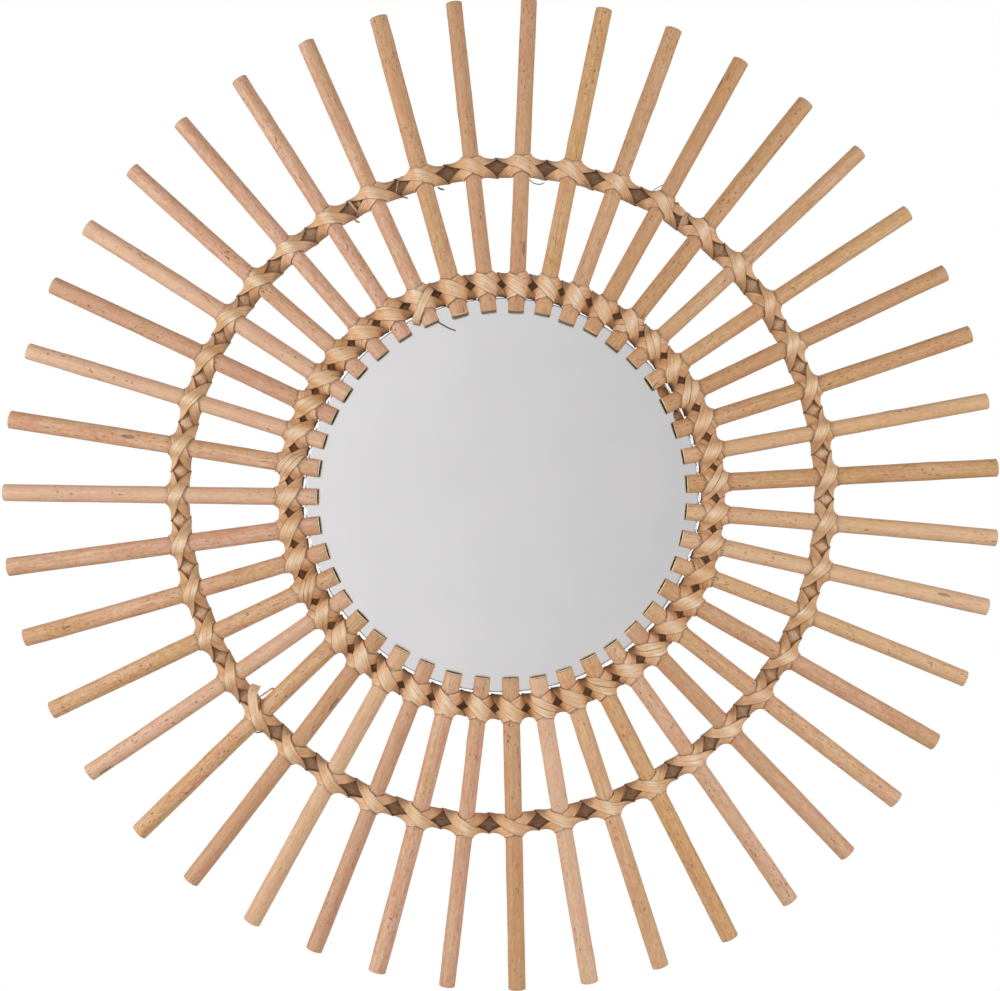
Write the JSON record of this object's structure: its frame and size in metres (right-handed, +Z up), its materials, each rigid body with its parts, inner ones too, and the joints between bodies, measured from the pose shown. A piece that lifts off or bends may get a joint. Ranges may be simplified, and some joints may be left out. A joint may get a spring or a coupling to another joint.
{
  "type": "wall mirror",
  "caption": "Round wall mirror: a round flat glass ringed by straight peeled sticks like sun rays, held by two hoops bound with flat crossing strips.",
  "frame": {"origin": "middle of the backing board's back face, where it meets the wall", "axes": "+Z up, +X to the right as seen from the front, +Y into the wall; the mirror faces -Y"},
  "size_m": [0.4969, 0.0203, 0.4947],
  "materials": {
    "stick_wood": "peeled wicker, bare and satin",
    "hoop_wood": "bent cane, bare and darker",
    "strip_peel": "flat peel with a soft sheen",
    "mirror_silver": "silvered glass",
    "board_wood": "plain raw board"
  },
  "bodies": {
    "root": {"stick_01": "stick_wood", "stick_02": "stick_wood", "stick_03": "stick_wood", "stick_04": "stick_wood", "stick_05": "stick_wood", "stick_06": "stick_wood", "stick_07": "stick_wood", "stick_08": "stick_wood", "stick_09": "stick_wood", "stick_10": "stick_wood", "stick_11": "stick_wood", "stick_12": "stick_wood", "stick_13": "stick_wood", "stick_14": "stick_wood", "stick_15": "stick_wood", "stick_16": "stick_wood", "stick_17": "stick_wood", "stick_18": "stick_wood", "stick_19": "stick_wood", "stick_20": "stick_wood", "stick_21": "stick_wood", "stick_22": "stick_wood", "stick_23": "stick_wood", "stick_24": "stick_wood", "stick_25": "stick_wood", "stick_26": "stick_wood", "stick_27": "stick_wood", "stick_28": "stick_wood", "stick_29": "stick_wood", "stick_30": "stick_wood", "stick_31": "stick_wood", "stick_32": "stick_wood", "stick_33": "stick_wood", "stick_34": "stick_wood", "stick_35": "stick_wood", "stick_36": "stick_wood", "stick_37": "stick_wood", "stick_38": "stick_wood", "stick_39": "stick_wood", "stick_40": "stick_wood", "stick_41": "stick_wood", "stick_42": "stick_wood", "stick_43": "stick_wood", "outer_hoop": "hoop_wood", "inner_hoop": "hoop_wood", "outer_binding_first": "strip_peel", "outer_binding_second": "strip_peel", "inner_binding_first": "strip_peel", "inner_binding_second": "strip_peel", "mirror_glass": "mirror_silver", "backing_board": "board_wood"}
  },
  "joints": []
}
